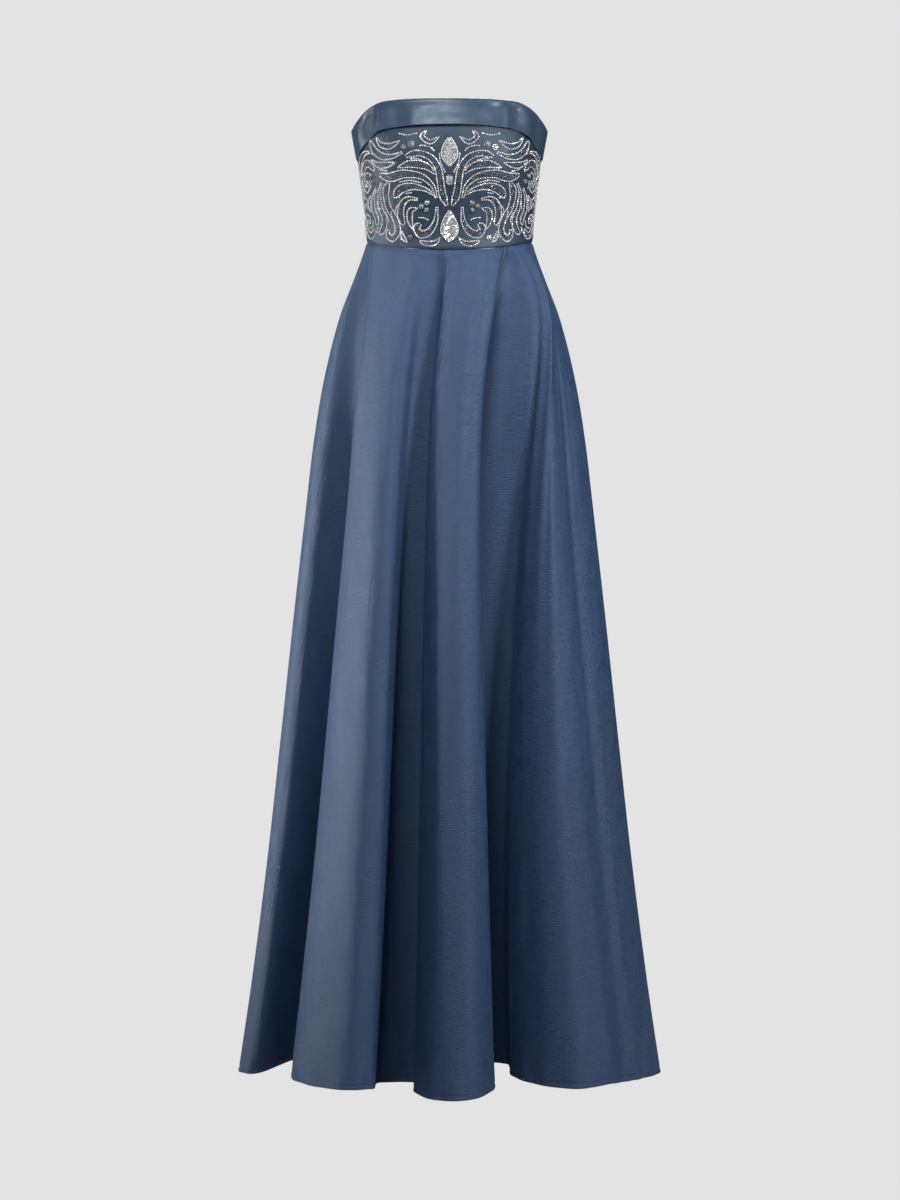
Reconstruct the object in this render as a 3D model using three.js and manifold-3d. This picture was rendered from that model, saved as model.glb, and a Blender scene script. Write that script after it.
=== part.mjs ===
// Strapless full-length evening gown in satin, in the hollow form that it has when it is worn.
// Millimetres, +Z up. The front faces -Y, and +X is on the right of someone who looks at the front.
// The origin is on the body's axis, level with the top edge under the arms, where the bodice is held.

import * as THREE from 'three';
import { mergeVertices } from 'three/addons/utils/BufferGeometryUtils.js';
import Module from 'manifold-3d';

// Heights, from the top edge at the sides.
const heights = {
  topBack: -10,
  waistSide: -156,
  waistFront: -178,
  hem: -1318,
  zipEnd: -346,
};

// Cloth thicknesses, and the gaps between pieces at seams and between layers.
const cloth = { bodice: 2, cuff: 1.5, skirt: 1.5, tape: 0.9, applique: 1.2 };
const seamGap = 0.3;
const layerGap = 0.5;

// The outside of the gown without its folds: an ellipse at each height, with its own front and back depth.
const bodySections = [
  { z: -1318, halfWidth: 296, frontDepth: 186, backDepth: 188 },
  { z: -1189, halfWidth: 277, frontDepth: 177, backDepth: 180 },
  { z: -1021, halfWidth: 255.5, frontDepth: 166, backDepth: 171 },
  { z: -853, halfWidth: 237, frontDepth: 155, backDepth: 162 },
  { z: -685, halfWidth: 219, frontDepth: 143, backDepth: 152 },
  { z: -517, halfWidth: 200, frontDepth: 130, backDepth: 141 },
  { z: -433, halfWidth: 190, frontDepth: 123, backDepth: 134 },
  { z: -349, halfWidth: 176, frontDepth: 116, backDepth: 126 },
  { z: -265, halfWidth: 155, frontDepth: 106, backDepth: 112 },
  { z: -209, halfWidth: 134, frontDepth: 97, backDepth: 97 },
  { z: -178, halfWidth: 122.5, frontDepth: 92, backDepth: 87 },
  { z: -156, halfWidth: 116.5, frontDepth: 92, backDepth: 83 },
  { z: -120, halfWidth: 118.5, frontDepth: 101, backDepth: 84 },
  { z: -86, halfWidth: 122, frontDepth: 112, backDepth: 88 },
  { z: -43, halfWidth: 128.3, frontDepth: 119, backDepth: 92 },
  { z: 0, halfWidth: 135.8, frontDepth: 117, backDepth: 94 },
  { z: 30, halfWidth: 138, frontDepth: 112, backDepth: 94 },
];

// The top edge, by the angle away from the centre front.
const topEdge = [
  { away: 0, z: 26 },
  { away: 40, z: 26.5 },
  { away: 49, z: 23 },
  { away: 59, z: 15.5 },
  { away: 67, z: 8 },
  { away: 78, z: 1.5 },
  { away: 90, z: 0 },
  { away: 135, z: -6 },
  { away: 180, z: heights.topBack },
];

// The two cups stand out of that ellipse beside the princess seams.
const cups = { at: 38, spread: 21, z: -56, height: 44, rise: 7, centreDip: 3.5 };

// Where the folds of the skirt run, once round the hem from the left side seam by the front: the angle
// at the waist seam, the place at the hem, how far the hem rises there, and how far the fold swings
// out above it.
const skirtFolds = [
  { fold: 'left side seam', waist: -90, x: -296, y: 8, lift: 0, swing: 0 },
  { fold: 'left flute, front', waist: -82, x: -271, y: -14, lift: 0, swing: 0 },
  { fold: 'left flute, valley', waist: -75, x: -208, y: 34, lift: 16, swing: 6 },
  { fold: 'left front flute, edge', waist: -69, x: -219, y: -70, lift: 6, swing: 9 },
  { fold: 'left front flute, shoulder', waist: -59, x: -196, y: -136, lift: 6, swing: 8 },
  { fold: 'left front flute, crest', waist: -43, x: -145, y: -188, lift: 7, swing: 3 },
  { fold: 'left front flute, end', waist: -23, x: -103, y: -178, lift: 6, swing: 0 },
  { fold: 'left front valley, start', waist: -10, x: -94, y: -70, lift: -3, swing: 4 },
  { fold: 'left front valley, end', waist: -1, x: -39, y: -72, lift: -3, swing: 2 },
  { fold: 'centre flute, start', waist: 5, x: -48, y: -138, lift: -4, swing: 0 },
  { fold: 'centre flute, left crest', waist: 14, x: -17, y: -187, lift: -7, swing: 0 },
  { fold: 'centre flute, right crest', waist: 27, x: 27, y: -190, lift: -6, swing: 3 },
  { fold: 'centre flute, end', waist: 39, x: 63, y: -140, lift: 0, swing: 7 },
  { fold: 'right front valley, start', waist: 43.5, x: 58, y: -32, lift: 17, swing: 12 },
  { fold: 'right front valley, end', waist: 49, x: 80, y: -30, lift: 16, swing: 38 },
  { fold: 'right front flute, start', waist: 55, x: 86, y: -80, lift: 8, swing: 44 },
  { fold: 'right front flute, shoulder', waist: 61, x: 122, y: -124, lift: 3, swing: 40 },
  { fold: 'right front flute, crest', waist: 68, x: 174, y: -145, lift: 1, swing: 20 },
  { fold: 'right front flute, end', waist: 74, x: 219, y: -117, lift: 3, swing: 6 },
  { fold: 'right flute, crease', waist: 79, x: 241, y: -80, lift: 0, swing: 2 },
  { fold: 'right flute, front', waist: 84, x: 265, y: -62, lift: 1, swing: 0 },
  { fold: 'right side seam', waist: 90, x: 296, y: 7, lift: 0, swing: 0 },
  { fold: 'right flute, back', waist: 99, x: 271, y: 63, lift: 0, swing: 0 },
  { fold: 'right back valley', waist: 107, x: 222, y: 76, lift: 6, swing: 0 },
  { fold: 'right back flute, start', waist: 114, x: 209, y: 130, lift: 0, swing: 0 },
  { fold: 'right back flute, crest', waist: 124, x: 171, y: 184, lift: 0, swing: 0 },
  { fold: 'right back flute, end', waist: 134, x: 127, y: 168, lift: 0, swing: 0 },
  { fold: 'right inner valley', waist: 142, x: 104, y: 116, lift: 5, swing: 0 },
  { fold: 'right inner flute, start', waist: 150, x: 88, y: 180, lift: 0, swing: 0 },
  { fold: 'right inner flute, crest', waist: 161, x: 50, y: 226, lift: 0, swing: 0 },
  { fold: 'right inner flute, end', waist: 172, x: 17, y: 196, lift: 0, swing: 0 },
  { fold: 'centre back seam', waist: 180, x: 0, y: 168, lift: 3, swing: 0 },
  { fold: 'left inner flute, start', waist: 188, x: -19, y: 190, lift: 0, swing: 0 },
  { fold: 'left inner flute, crest', waist: 200, x: -58, y: 222, lift: 0, swing: 0 },
  { fold: 'left inner flute, end', waist: 211, x: -97, y: 186, lift: 0, swing: 0 },
  { fold: 'left inner valley', waist: 219, x: -112, y: 122, lift: 5, swing: 0 },
  { fold: 'left back flute, start', waist: 228, x: -136, y: 160, lift: 0, swing: 0 },
  { fold: 'left back flute, crest', waist: 240, x: -180, y: 178, lift: 0, swing: 0 },
  { fold: 'left back flute, end', waist: 251, x: -218, y: 122, lift: 0, swing: 0 },
  { fold: 'left back valley', waist: 258, x: -228, y: 74, lift: 6, swing: 0 },
  { fold: 'left flute, back', waist: 264, x: -273, y: 60, lift: 0, swing: 0 },
];
const frontRight = skirtFolds.findIndex((row) => row.fold === 'right side seam');
const centreBack = skirtFolds.findIndex((row) => row.fold === 'centre back seam');
const foldGrowth = 0.85; // how fast the folds deepen down the skirt
const foldTurn = 10; // how soon below the waist the folds run straight down
const foldSteps = 3; // columns of the wall from one row of that table to the next
const skirtLevels = [0, 0.025, 0.06, 0.105, 0.16, 0.24, 0.34, 0.46, 0.58, 0.7, 0.8, 0.9, 1];

// The bodice's panels meet at the princess seams, at the side seams and at the zip.
const princess = { waist: 34.5, top: 41.5 };
const bodiceLevels = 15;
const bodiceStep = 5; // degrees, about, from one column of a wall to the next

// The cuff is a folded band over the top edge that hangs down outside.
const cuff = { front: 37, side: 40, corner: 4, standOff: 3.6, insideLeg: 9, rollSteps: 4 };
const cuffLevels = 4;
const cuffBackGap = 8; // between its two ends, over the zip

// Beadwork is set out on the front by the distance from the centre front and the height over the waist seam.
const mmPerDegree = 2.03;
const stoneSides = 8;
const stoneGap = 0.45;
const stones = [
  { name: 'centre_drop', across: 0, up: 92, wide: 10, tall: 14, high: 4, pair: false },
  { name: 'upper_a', across: 47, up: 139, wide: 8, tall: 8, high: 3.4, pair: true },
  { name: 'upper_b', across: 57, up: 134, wide: 7, tall: 7, high: 3, pair: true },
  { name: 'cluster_a', across: 30, up: 62, wide: 7.5, tall: 7.5, high: 3.4, pair: true },
  { name: 'cluster_b', across: 38, up: 57, wide: 6.5, tall: 6.5, high: 3, pair: true },
  { name: 'cluster_c', across: 31, up: 53, wide: 6, tall: 6, high: 2.8, pair: true },
  { name: 'low_single', across: 56, up: 15, wide: 5.5, tall: 5.5, high: 2.6, pair: true },
  { name: 'side_a', across: 121, up: 92, wide: 7, tall: 7, high: 3, pair: true },
  { name: 'side_b', across: 114, up: 85, wide: 6, tall: 6, high: 2.8, pair: true },
];
const appliques = [
  { name: 'applique_bud', low: 112, high: 150, halfWidth: 9.5, widestAt: 0.4 },
  { name: 'applique_drop', low: 12, high: 52, halfWidth: 11, widestAt: 0.35 },
];
const appliqueLevels = 8;

// The zip in the centre back: a closed tape inside, a slider at the top and its pull tab.
const tapeHalfWidth = 11;
const tapeSteps = 12;
const slider = { wide: 5.6, tall: 9, deep: 1.7, earWide: 0.8, earTall: 3.2, earDeep: 3.2, top: -13.5 };
const pin = { radius: 0.7, out: 4, down: 4.2, sides: 16 };
const tab = { wide: 4.4, taper: 3.2, thick: 1.1, long: 23, neck: 3 };
const eye = { outer: 1.9, bore: 1.05, wide: 3.2 };

const satin = { color: 0x4a5f80, roughness: 0.38, metalness: 0 };
const bodiceSatin = { color: 0x4b6080, roughness: 0.4, metalness: 0 };
const cuffSatin = { color: 0x50668a, roughness: 0.33, metalness: 0 };
const crystal = { color: 0xc9cdd2, roughness: 0.08, metalness: 0.1 };
const copperCrystal = { color: 0xb98a6e, roughness: 0.1, metalness: 0.2 };
const silverSequin = { color: 0xb9bcc0, roughness: 0.3, metalness: 0.8 };
const zipBlue = { color: 0x2e3d5c, roughness: 0.35, metalness: 0.4 };

const radians = THREE.MathUtils.degToRad;

// Reads one column of a table at x, by a smooth curve through its rows.
function readTable(rows, key, x, column) {
  const last = rows.length - 1;
  let i = 0;
  while (i < last - 1 && rows[i + 1][key] < x) i += 1;
  const slope = (k) => {
    const before = rows[Math.max(k - 1, 0)];
    const after = rows[Math.min(k + 1, last)];
    return (after[column] - before[column]) / (after[key] - before[key]);
  };
  const width = rows[i + 1][key] - rows[i][key];
  const t = THREE.MathUtils.clamp((x - rows[i][key]) / width, 0, 1);
  return (
    rows[i][column] * (2 * t ** 3 - 3 * t ** 2 + 1) +
    slope(i) * width * (t ** 3 - 2 * t ** 2 + t) +
    rows[i + 1][column] * (3 * t ** 2 - 2 * t ** 3) +
    slope(i + 1) * width * (t ** 3 - t ** 2)
  );
}

const bell = (x) => Math.exp(-x * x);
const ease = (x) => THREE.MathUtils.smoothstep(x, 0, 1);

// Angles count from the centre front. The same angle may be written past half a turn.
const fromFront = (degrees) => Math.abs(THREE.MathUtils.euclideanModulo(degrees + 180, 360) - 180);

function waistHeight(degrees) {
  const ahead = Math.max(0, Math.cos(radians(degrees)));
  return heights.waistSide + (heights.waistFront - heights.waistSide) * ahead ** 1.5;
}

const topHeight = (degrees) => readTable(topEdge, 'away', fromFront(degrees), 'z');

// A point on the outside of the unfolded gown, or that far out of it.
function bodyPoint(degrees, z, out = 0) {
  const phi = radians(degrees);
  const side = Math.sin(phi);
  const ahead = Math.cos(phi);
  const halfWidth = readTable(bodySections, 'z', z, 'halfWidth');
  const depth = readTable(bodySections, 'z', z, ahead > 0 ? 'frontDepth' : 'backDepth');
  const normal = new THREE.Vector2(side / halfWidth, -ahead / depth).normalize();
  const away = fromFront(degrees);
  const level = bell((z - cups.z) / cups.height);
  const cup = cups.rise * bell((away - cups.at) / cups.spread) * level;
  const dip = cups.centreDip * bell(away / cups.spread) * level;
  const move = out + cup - dip;
  return new THREE.Vector3(halfWidth * side + normal.x * move, -depth * ahead + normal.y * move, z);
}

// The share of its swing that a fold has: none at the waist and at the hem, and most a third of the way down.
const swingShare = (down) => 2 * (1 - down) ** 1.6 * (1 - (1 - down) ** foldTurn);

// The skirt's section at a share of the way down, as a closed curve through its folds.
const sectionCurves = new Map();
function skirtSection(down) {
  if (sectionCurves.has(down)) return sectionCurves.get(down);
  const hemHalfWidth = readTable(bodySections, 'z', heights.hem, 'halfWidth');
  const points = skirtFolds.map((row) => {
    const share = Math.asin(THREE.MathUtils.clamp(row.x / hemHalfWidth, -1, 1));
    const hemAngle = row.waist > 90 ? 180 - THREE.MathUtils.radToDeg(share) : THREE.MathUtils.radToDeg(share);
    const angle = hemAngle + (row.waist - hemAngle) * (1 - down) ** foldTurn;
    const top = waistHeight(row.waist) - seamGap / 2;
    const z = top + down * (heights.hem + row.lift - top);
    const depthOfFold = row.y - bodyPoint(hemAngle, heights.hem).y;
    const point = bodyPoint(angle, z);
    point.x += row.swing * swingShare(down);
    point.y += depthOfFold * down ** foldGrowth;
    return point;
  });
  const curve = new THREE.CatmullRomCurve3(points, true, 'centripetal');
  sectionCurves.set(down, curve);
  return curve;
}

// A point of the skirt, by its place in the table of folds. Its outside is at out = 0.
function skirtPoint(place, down, out = 0) {
  const curve = skirtSection(down);
  const near = 0.02;
  const at = (p) => curve.getPoint(THREE.MathUtils.euclideanModulo(p / skirtFolds.length, 1));
  const along = at(place + near).sub(at(place - near));
  const normal = new THREE.Vector3(along.y, -along.x, 0).normalize();
  return at(place).addScaledVector(normal, out);
}

// A closed wall between two grids of points of the same size: its face and its back.
function wallGeometry(face, back) {
  const rows = face.length;
  const columns = face[0].length;
  const positions = [...face.flat(), ...back.flat()].flatMap((p) => [p.x, p.y, p.z]);
  const at = (side, r, c) => (side * rows + r) * columns + c;
  const index = [];
  const quad = (a, b, c, d) => index.push(a, b, c, a, c, d);
  for (let r = 0; r < rows - 1; r += 1) {
    for (let c = 0; c < columns - 1; c += 1) {
      quad(at(0, r, c), at(0, r, c + 1), at(0, r + 1, c + 1), at(0, r + 1, c));
      quad(at(1, r, c), at(1, r + 1, c), at(1, r + 1, c + 1), at(1, r, c + 1));
    }
    quad(at(0, r, 0), at(0, r + 1, 0), at(1, r + 1, 0), at(1, r, 0));
    quad(at(0, r + 1, columns - 1), at(0, r, columns - 1), at(1, r, columns - 1), at(1, r + 1, columns - 1));
  }
  for (let c = 0; c < columns - 1; c += 1) {
    quad(at(0, 0, c + 1), at(0, 0, c), at(1, 0, c), at(1, 0, c + 1));
    quad(at(0, rows - 1, c), at(0, rows - 1, c + 1), at(1, rows - 1, c + 1), at(1, rows - 1, c));
  }
  const geometry = new THREE.BufferGeometry();
  geometry.setAttribute('position', new THREE.Float32BufferAttribute(positions, 3));
  geometry.setIndex(index);
  return facingOut(geometry);
}

// Turns every face round if the closed geometry is inside out.
function facingOut(geometry) {
  const position = geometry.getAttribute('position');
  const index = geometry.index.array;
  const [a, b, c] = [new THREE.Vector3(), new THREE.Vector3(), new THREE.Vector3()];
  let volume = 0;
  for (let i = 0; i < index.length; i += 3) {
    a.fromBufferAttribute(position, index[i]);
    b.fromBufferAttribute(position, index[i + 1]);
    c.fromBufferAttribute(position, index[i + 2]);
    volume += a.dot(b.cross(c));
  }
  if (volume < 0) {
    for (let i = 0; i < index.length; i += 3) [index[i + 1], index[i + 2]] = [index[i + 2], index[i + 1]];
  }
  geometry.computeVertexNormals();
  return geometry;
}

// Evenly spaced values from one number to another.
function span(from, to, steps) {
  return Array.from({ length: steps + 1 }, (_, i) => from + ((to - from) * i) / steps);
}

// Draws the first and last column of a grid in by half a seam gap.
function trimSides(grid) {
  for (const row of grid) {
    const last = row.length - 1;
    const draw = (end, next) => end.lerp(next, seamGap / 2 / end.distanceTo(next));
    draw(row[0], row[1]);
    draw(row[last], row[last - 1]);
  }
  return grid;
}

const gown = new THREE.Group();

function addPiece(name, geometry, look) {
  const mesh = new THREE.Mesh(geometry, new THREE.MeshStandardMaterial(look));
  mesh.name = name;
  gown.add(mesh);
  return mesh;
}

// A bodice panel between two seams, whose angles may change from the waist to the top.
function bodicePanel(seamFrom, seamTo) {
  const steps = Math.ceil(Math.abs(seamTo(0.5) - seamFrom(0.5)) / bodiceStep);
  const grid = (out) =>
    trimSides(
      span(0, 1, bodiceLevels).map((level) =>
        span(0, 1, steps).map((share) => {
          const degrees = THREE.MathUtils.lerp(seamFrom(level), seamTo(level), share);
          const low = waistHeight(degrees) + seamGap / 2;
          const high = topHeight(degrees) - cloth.cuff / 2 - rollHalf;
          return bodyPoint(degrees, THREE.MathUtils.lerp(low, high, level), out);
        }),
      ),
    );
  return wallGeometry(grid(0), grid(-cloth.bodice));
}

const princessSeam = (side) => (level) => side * THREE.MathUtils.lerp(princess.waist, princess.top, level);
const sideSeam = (side) => () => side * 90;
const backSeam = (side) => () => side * 180;

// Half the width of the cuff's roll over the top edge, between the middles of its two legs.
const rollHalf = (cloth.bodice + 2 * layerGap + cloth.cuff) / 2;

// How far the cuff hangs down outside at an angle.
function cuffDrop(degrees) {
  const away = Math.min(1, fromFront(degrees) / 90);
  const corner = cuff.corner * Math.sin(Math.PI * away ** 2);
  return THREE.MathUtils.lerp(cuff.front, cuff.side, ease(away)) + corner;
}

// The cuff's section at an angle, along its middle: up the outside, over the top edge and down the inside.
function cuffProfile(degrees) {
  const top = topHeight(degrees);
  const middle = -cloth.bodice / 2;
  const rollAt = top - cloth.cuff / 2 - rollHalf;
  const spare = cuff.standOff * Math.cos(radians(degrees)) ** 2;
  const points = span(0, 1, cuffLevels - 1).map((share) => ({
    out: middle + rollHalf + spare * (1 - share) ** 1.4,
    z: THREE.MathUtils.lerp(top - cuffDrop(degrees), rollAt, share),
  }));
  for (const turn of span(0, Math.PI, cuff.rollSteps).slice(1, -1)) {
    points.push({ out: middle + rollHalf * Math.cos(turn), z: rollAt + rollHalf * Math.sin(turn) });
  }
  points.push({ out: middle - rollHalf, z: rollAt }, { out: middle - rollHalf, z: top - cuff.insideLeg });
  return points;
}

function cuffPiece(from, to) {
  const steps = Math.ceil((to - from) / bodiceStep);
  const grid = (side) => {
    const columns = span(from, to, steps).map((degrees) => {
      const profile = cuffProfile(degrees);
      return profile.map((point, i) => {
        const before = profile[Math.max(i - 1, 0)];
        const after = profile[Math.min(i + 1, profile.length - 1)];
        const along = new THREE.Vector2(after.out - before.out, after.z - before.z).normalize();
        const shift = (side * cloth.cuff) / 2;
        return bodyPoint(degrees, point.z - along.x * shift, point.out + along.y * shift);
      });
    });
    return columns[0].map((_, r) => columns.map((column) => column[r]));
  };
  return wallGeometry(trimSides(grid(1)), trimSides(grid(-1)));
}

// A skirt panel between two rows of the table of folds.
function skirtPanel(from, to) {
  const places = span(from, to, (to - from) * foldSteps);
  const row = (down, out) => places.map((place) => skirtPoint(place, down, out));
  const grid = (out) => trimSides(skirtLevels.map((down) => row(down, out)));
  return wallGeometry(grid(0), grid(-cloth.skirt));
}

// A point over the front of the bodice, by the beadwork's own measures.
function frontPoint(across, up, out) {
  const degrees = across / mmPerDegree;
  return bodyPoint(degrees, waistHeight(degrees) + up, out);
}

function frontFrame(across, up, out) {
  const origin = frontPoint(across, up, out);
  const right = frontPoint(across + 1, up, out).sub(origin).normalize();
  const above = frontPoint(across, up + 1, out).sub(origin);
  const normal = right.clone().cross(above).normalize();
  return { origin, basis: new THREE.Matrix4().makeBasis(right, normal.clone().cross(right), normal) };
}

// A cut stone in its setting: flat below, with a girdle and a table.
function stoneGeometry({ wide, tall, high }) {
  const profile = [
    new THREE.Vector2(0, 0),
    new THREE.Vector2(0.5, 0),
    new THREE.Vector2(0.5, 0.4 * high),
    new THREE.Vector2(0.29, high),
    new THREE.Vector2(0, high),
  ];
  const geometry = new THREE.LatheGeometry(profile, stoneSides);
  return geometry.rotateX(Math.PI / 2).scale(wide, tall, 1);
}

// An almond of cloth that lies on the centre front panel.
function appliqueGeometry({ low, high, halfWidth, widestAt }) {
  const outline = (share) => {
    const wave = share < widestAt ? share / widestAt : (1 - share) / (1 - widestAt);
    return Math.max(0.6, halfWidth * Math.sin((wave * Math.PI) / 2) ** 0.9);
  };
  const row = (share, out) => {
    const up = THREE.MathUtils.lerp(low, high, share);
    return span(-1, 1, 4).map((side) => frontPoint(side * outline(share), up, out));
  };
  const grid = (out) => span(0, 1, appliqueLevels).map((share) => row(share, out));
  return wallGeometry(grid(layerGap + cloth.applique), grid(layerGap));
}

// The zip's tape follows the inside of the bodice and of the skirt.
function tapeGeometry() {
  const insideAt = (z, share, out) => {
    const waist = waistHeight(180);
    if (z > waist) return bodyPoint(180 - (share * tapeHalfWidth) / mmPerDegree, z, out - cloth.bodice);
    const top = waist - seamGap / 2;
    const down = Math.max(0, (z - top) / (heights.hem + skirtFolds[centreBack].lift - top));
    const reach = skirtPoint(centreBack, down).distanceTo(skirtPoint(centreBack - 0.5, down));
    return skirtPoint(centreBack - (0.5 * share * tapeHalfWidth) / reach, down, out - cloth.bodice);
  };
  const levels = span(heights.zipEnd, heights.topBack - cuff.insideLeg - cloth.cuff, tapeSteps);
  const grid = (out) => levels.map((z) => span(-1, 1, 4).map((share) => insideAt(z, share, out)));
  return wallGeometry(grid(-layerGap), grid(-layerGap - cloth.tape));
}

const wasm = await Module();
wasm.setup();

// A closed three.js geometry as a solid that can be joined and cut.
function solidOf(geometry) {
  const bare = geometry.clone();
  bare.deleteAttribute('normal');
  bare.deleteAttribute('uv');
  const merged = mergeVertices(bare, 1e-4);
  const vertProperties = merged.getAttribute('position').array;
  const triVerts = new Uint32Array(merged.index.array);
  return new wasm.Manifold(new wasm.Mesh({ numProp: 3, vertProperties, triVerts }));
}

function geometryOf(solid) {
  const mesh = solid.getMesh();
  const geometry = new THREE.BufferGeometry();
  geometry.setAttribute('position', new THREE.BufferAttribute(new Float32Array(mesh.vertProperties), 3));
  geometry.setIndex(new THREE.BufferAttribute(new Uint32Array(mesh.triVerts), 1));
  geometry.computeVertexNormals();
  return geometry;
}

const boxAt = (x, y, z, w, d, h) => new THREE.BoxGeometry(w, d, h).translate(x, y, z);
function barAt(radius, long, sides) {
  return new THREE.CylinderGeometry(radius, radius, long, sides).rotateZ(Math.PI / 2);
}

// The slider, around the pin's centre: a plate on the cloth, two ears and the pin.
function sliderGeometry() {
  const plateOut = slider.deep / 2 - pin.out;
  const earX = slider.wide / 2 - slider.earWide / 2;
  const earOut = slider.deep - pin.out + slider.earDeep / 2 - 0.1;
  const plate = boxAt(0, plateOut, pin.down - slider.tall / 2, slider.wide, slider.deep, slider.tall);
  const earDeep = slider.earDeep + 0.2;
  const ears = [-1, 1].map((side) => boxAt(side * earX, earOut, 0, slider.earWide, earDeep, slider.earTall));
  let solid = solidOf(plate);
  for (const ear of ears) solid = solid.add(solidOf(ear));
  return geometryOf(solid.add(solidOf(barAt(pin.radius, slider.wide - slider.earWide, pin.sides))));
}

// The pull tab hangs from the pin by its eye.
function tabGeometry() {
  const neck = boxAt(0, 0, -eye.outer - 0.3, tab.neck, tab.thick, 2);
  const outline = new THREE.Shape();
  const top = -eye.outer - 0.9;
  outline.moveTo(-tab.taper / 2, top);
  outline.lineTo(-tab.wide / 2, tab.wide / 2 - tab.long);
  outline.absarc(0, tab.wide / 2 - tab.long, tab.wide / 2, Math.PI, 2 * Math.PI, false);
  outline.lineTo(tab.taper / 2, top);
  outline.closePath();
  const solid = { depth: tab.thick, bevelEnabled: false, curveSegments: 8 };
  const blade = new THREE.ExtrudeGeometry(outline, solid);
  blade.translate(0, 0, -tab.thick / 2).rotateX(Math.PI / 2);
  const ring = solidOf(barAt(eye.outer, eye.wide, pin.sides));
  const bore = solidOf(barAt(eye.bore, eye.wide + 2, pin.sides));
  return geometryOf(ring.add(solidOf(neck)).subtract(bore).add(solidOf(blade)));
}

addPiece('bodice_centre_front', bodicePanel(princessSeam(-1), princessSeam(1)), bodiceSatin);
addPiece('bodice_side_front_r', bodicePanel(princessSeam(1), sideSeam(1)), bodiceSatin);
addPiece('bodice_side_front_l', bodicePanel(sideSeam(-1), princessSeam(-1)), bodiceSatin);
addPiece('bodice_back_r', bodicePanel(sideSeam(1), backSeam(1)), bodiceSatin);
addPiece('bodice_back_l', bodicePanel(backSeam(-1), sideSeam(-1)), bodiceSatin);

const cuffEnd = 180 - cuffBackGap / 2 / mmPerDegree;
addPiece('cuff_front', cuffPiece(-90, 90), cuffSatin);
addPiece('cuff_back_r', cuffPiece(90, cuffEnd), cuffSatin);
addPiece('cuff_back_l', cuffPiece(-cuffEnd, -90), cuffSatin);

addPiece('skirt_front', skirtPanel(0, frontRight), satin);
addPiece('skirt_back_r', skirtPanel(frontRight, centreBack), satin);
addPiece('skirt_back_l', skirtPanel(centreBack, skirtFolds.length), satin);

for (const applique of appliques) addPiece(applique.name, appliqueGeometry(applique), silverSequin);

for (const stone of stones) {
  const copper = stone.name === 'low_single';
  for (const side of stone.pair ? [-1, 1] : [1]) {
    const suffix = stone.pair ? (side < 0 ? '_l' : '_r') : '';
    const material = copper ? copperCrystal : crystal;
    const mesh = addPiece(`stone_${stone.name}${suffix}`, stoneGeometry(stone), material);
    const { origin, basis } = frontFrame(side * stone.across, stone.up, stoneGap);
    mesh.position.copy(origin);
    mesh.quaternion.setFromRotationMatrix(basis);
  }
}

addPiece('zip_tape', tapeGeometry(), zipBlue);
const pinCentre = bodyPoint(180, slider.top - pin.down, layerGap + pin.out);
for (const [name, geometry] of [['zip_slider', sliderGeometry()], ['zip_pull_tab', tabGeometry()]]) {
  addPiece(name, geometry, zipBlue).position.copy(pinCentre);
}

export default gown;
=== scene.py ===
import math

import bmesh
import bpy
import numpy as np
from mathutils import Matrix, Vector


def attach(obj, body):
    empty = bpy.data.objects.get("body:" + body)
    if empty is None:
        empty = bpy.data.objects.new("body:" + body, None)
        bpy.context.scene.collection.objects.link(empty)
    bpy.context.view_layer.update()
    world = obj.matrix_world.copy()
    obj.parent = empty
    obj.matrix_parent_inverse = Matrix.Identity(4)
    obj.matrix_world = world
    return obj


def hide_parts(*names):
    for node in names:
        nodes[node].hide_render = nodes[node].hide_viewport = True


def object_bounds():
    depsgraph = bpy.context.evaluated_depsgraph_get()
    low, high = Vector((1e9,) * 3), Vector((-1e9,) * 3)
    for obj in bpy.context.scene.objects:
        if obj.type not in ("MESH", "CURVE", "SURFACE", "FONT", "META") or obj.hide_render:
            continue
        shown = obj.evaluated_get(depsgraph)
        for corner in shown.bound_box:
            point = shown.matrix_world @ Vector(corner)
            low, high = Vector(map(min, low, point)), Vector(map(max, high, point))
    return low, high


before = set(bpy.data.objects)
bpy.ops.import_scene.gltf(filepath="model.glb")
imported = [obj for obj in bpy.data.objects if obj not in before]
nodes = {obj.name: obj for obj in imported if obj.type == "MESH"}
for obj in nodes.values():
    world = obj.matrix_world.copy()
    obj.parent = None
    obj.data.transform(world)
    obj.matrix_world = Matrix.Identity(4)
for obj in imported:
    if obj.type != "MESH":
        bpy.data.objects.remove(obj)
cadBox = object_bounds()
mm = 0.001
print("frame loaded:", len(nodes), "nodes")


# The gown's shape, with the same tables as its pattern, in millimetres. "perDegree" is the bodice's girth
# for one degree round it.

shape = {
    "waistSide": -156, "waistFront": -178, "hem": -1318,
    "seamGap": 0.3, "layerGap": 0.5, "cuffCloth": 1.5, "bodiceCloth": 2.0,
    "foldGrowth": 0.85, "foldTurn": 10, "perDegree": 2.03,
}
bodySections = [  # z, halfWidth, frontDepth, backDepth
    (-1318, 296, 186, 188), (-1189, 277, 177, 180), (-1021, 255.5, 166, 171), (-853, 237, 155, 162),
    (-685, 219, 143, 152), (-517, 200, 130, 141), (-433, 190, 123, 134), (-349, 176, 116, 126),
    (-265, 155, 106, 112), (-209, 134, 97, 97), (-178, 122.5, 92, 87), (-156, 116.5, 92, 83),
    (-120, 118.5, 101, 84), (-86, 122, 112, 88), (-43, 128.3, 119, 92), (0, 135.8, 117, 94),
    (30, 138, 112, 94),
]
topEdge = [  # degrees away from the centre front, z
    (0, 26), (40, 26.5), (49, 23), (59, 15.5), (67, 8), (78, 1.5), (90, 0), (135, -6), (180, -10),
]
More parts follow.
